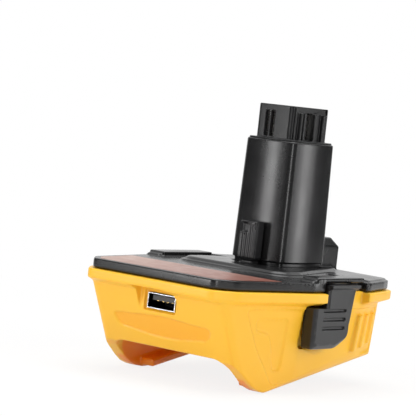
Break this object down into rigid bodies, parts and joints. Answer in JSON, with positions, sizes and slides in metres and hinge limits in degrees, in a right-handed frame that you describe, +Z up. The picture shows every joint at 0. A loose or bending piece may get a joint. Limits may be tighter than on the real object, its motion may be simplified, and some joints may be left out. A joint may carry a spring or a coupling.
{
  "type": "tool battery adapter",
  "caption": "Adapter that joins a slide-on battery to a tool with a stem socket: sloped housing with battery bay, cover plate, contact stem, sprung side latches and a USB-A outlet.",
  "frame": {"origin": "middle of the bounding box in X and Y, at the level the feet stand on", "axes": "+Z up along the stem, -Y the front with the USB port and the battery's way in, +X and -X the latches"},
  "size_m": [0.0876, 0.1123, 0.1056],
  "materials": {
    "housing_yellow": "satin moulded plastic, warm yellow-orange",
    "cover_black": "satin moulded plastic, black",
    "stem_black": "satin moulded plastic, black",
    "latch_black": "satin moulded plastic, black",
    "contact_metal": "plated contact strip",
    "spring_steel": "drawn spring wire",
    "usb_metal": "plated sheet",
    "gold_contact": "plated",
    "board_green": "coated board",
    "ferrite": "sintered",
    "capacitor_blue": "sleeve",
    "fuse_body": "ceramic-like",
    "wire_red": "wire jacket",
    "wire_black": "wire jacket",
    "wire_blue": "wire jacket",
    "screw_steel": "plated",
    "label_beige": "printed film, bare"
  },
  "bodies": {
    "adapter": {"lower_housing": "housing_yellow", "top_cover": "cover_black", "stem": "stem_black", "contact_head": "stem_black", "stem_contact_positive": "contact_metal", "stem_contact_negative": "contact_metal", "stem_contact_sense": "contact_metal", "latch_spring_right": "spring_steel", "latch_spring_left": "spring_steel", "usb_shell": "usb_metal", "usb_insulator": "stem_black", "usb_contacts": "gold_contact", "circuit_board": "board_green", "inductor": "ferrite", "capacitors": "capacitor_blue", "regulator_chip": "stem_black", "fuse": "fuse_body", "terminal_block": "stem_black", "battery_blade_positive": "contact_metal", "battery_blade_negative": "contact_metal", "battery_data_blades": "contact_metal", "battery_lead_positive": "wire_red", "battery_lead_negative": "wire_black", "stem_lead_positive": "wire_red", "stem_lead_negative": "wire_black", "sense_lead": "wire_blue", "housing_screws": "screw_steel", "board_screws": "screw_steel", "stem_screws": "screw_steel", "front_label": "label_beige"},
    "latch_right": {"latch_right": "latch_black"},
    "latch_left": {"latch_left": "latch_black"}
  },
  "joints": [
    {"name": "latch_right_press", "type": "slide", "parent": "adapter", "child": "latch_right", "axis": [-1, 0, 0], "range_m": [0, 0.003], "stiffness_N_per_m": 1200, "springref_m": -0.003, "deforming": ["latch_spring_right"]},
    {"name": "latch_left_press", "type": "slide", "parent": "adapter", "child": "latch_left", "axis": [1, 0, 0], "range_m": [0, 0.003], "stiffness_N_per_m": 1200, "springref_m": -0.003, "deforming": ["latch_spring_left"]}
  ]
}
